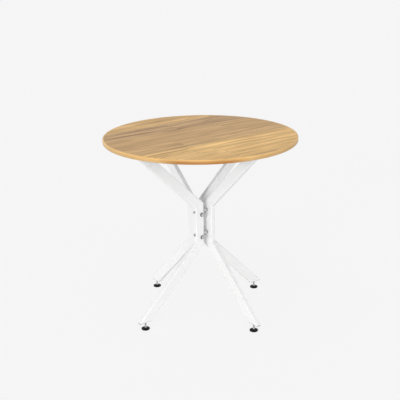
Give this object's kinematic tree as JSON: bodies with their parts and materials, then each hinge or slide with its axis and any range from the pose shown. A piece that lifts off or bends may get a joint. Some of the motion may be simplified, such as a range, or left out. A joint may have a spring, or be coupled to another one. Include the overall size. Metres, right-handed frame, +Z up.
{
  "type": "round dining table",
  "caption": "Round dining table: a wood-faced top with a rounded edge on crossed K-shaped steel tube legs bolted round a central hub, with screw-adjustable levelling feet.",
  "frame": {"origin": "on the floor under the middle of the round top, with the levelling feet as the picture shows them", "axes": "+Z up; the four legs lie on the diagonals of X and Y; -Y is the picture's front"},
  "size_m": [0.8, 0.8, 0.77],
  "materials": {
    "oak_face": "satin wood-grain face with staggered staves",
    "oak_edge_band": "satin rounded wood edge, warmer than the face",
    "white_powder_coat": "white powder coat, semi-matt",
    "zinc_plate": "bright zinc plate",
    "plug_plastic": "matt moulded plastic",
    "black_plastic": "matt moulded plastic"
  },
  "bodies": {
    "frame": {"table_top_board": "oak_face", "table_top_edge_band": "oak_edge_band", "front_left_leg": "white_powder_coat", "front_left_mounting_plate": "white_powder_coat", "front_left_plate_screw_1": "zinc_plate", "front_left_plate_screw_2": "zinc_plate", "front_left_plate_screw_3": "zinc_plate", "front_left_hub_bolt_upper": "zinc_plate", "front_left_hub_spacer_upper": "zinc_plate", "front_left_hub_insert_upper": "zinc_plate", "front_left_hub_bolt_lower": "zinc_plate", "front_left_hub_spacer_lower": "zinc_plate", "front_left_hub_insert_lower": "zinc_plate", "front_left_end_plug": "plug_plastic", "front_right_leg": "white_powder_coat", "front_right_mounting_plate": "white_powder_coat", "front_right_plate_screw_1": "zinc_plate", "front_right_plate_screw_2": "zinc_plate", "front_right_plate_screw_3": "zinc_plate", "front_right_hub_bolt_upper": "zinc_plate", "front_right_hub_spacer_upper": "zinc_plate", "front_right_hub_insert_upper": "zinc_plate", "front_right_hub_bolt_lower": "zinc_plate", "front_right_hub_spacer_lower": "zinc_plate", "front_right_hub_insert_lower": "zinc_plate", "front_right_end_plug": "plug_plastic", "back_right_leg": "white_powder_coat", "back_right_mounting_plate": "white_powder_coat", "back_right_plate_screw_1": "zinc_plate", "back_right_plate_screw_2": "zinc_plate", "back_right_plate_screw_3": "zinc_plate", "back_right_hub_bolt_upper": "zinc_plate", "back_right_hub_spacer_upper": "zinc_plate", "back_right_hub_insert_upper": "zinc_plate", "back_right_hub_bolt_lower": "zinc_plate", "back_right_hub_spacer_lower": "zinc_plate", "back_right_hub_insert_lower": "zinc_plate", "back_right_end_plug": "plug_plastic", "back_left_leg": "white_powder_coat", "back_left_mounting_plate": "white_powder_coat", "back_left_plate_screw_1": "zinc_plate", "back_left_plate_screw_2": "zinc_plate", "back_left_plate_screw_3": "zinc_plate", "back_left_hub_bolt_upper": "zinc_plate", "back_left_hub_spacer_upper": "zinc_plate", "back_left_hub_insert_upper": "zinc_plate", "back_left_hub_bolt_lower": "zinc_plate", "back_left_hub_spacer_lower": "zinc_plate", "back_left_hub_insert_lower": "zinc_plate", "back_left_end_plug": "plug_plastic"},
    "front_left_foot": {"front_left_foot_stem": "zinc_plate", "front_left_foot_pad": "black_plastic"},
    "front_right_foot": {"front_right_foot_stem": "zinc_plate", "front_right_foot_pad": "black_plastic"},
    "back_right_foot": {"back_right_foot_stem": "zinc_plate", "back_right_foot_pad": "black_plastic"},
    "back_left_foot": {"back_left_foot_stem": "zinc_plate", "back_left_foot_pad": "black_plastic"}
  },
  "joints": [
    {"name": "front_left_foot_screw", "type": "slide", "parent": "frame", "child": "front_left_foot", "axis": [0, 0, 1], "range_m": [-0.006, 0.01]},
    {"name": "front_right_foot_screw", "type": "slide", "parent": "frame", "child": "front_right_foot", "axis": [0, 0, 1], "range_m": [-0.006, 0.01]},
    {"name": "back_right_foot_screw", "type": "slide", "parent": "frame", "child": "back_right_foot", "axis": [0, 0, 1], "range_m": [-0.006, 0.01]},
    {"name": "back_left_foot_screw", "type": "slide", "parent": "frame", "child": "back_left_foot", "axis": [0, 0, 1], "range_m": [-0.006, 0.01]}
  ]
}
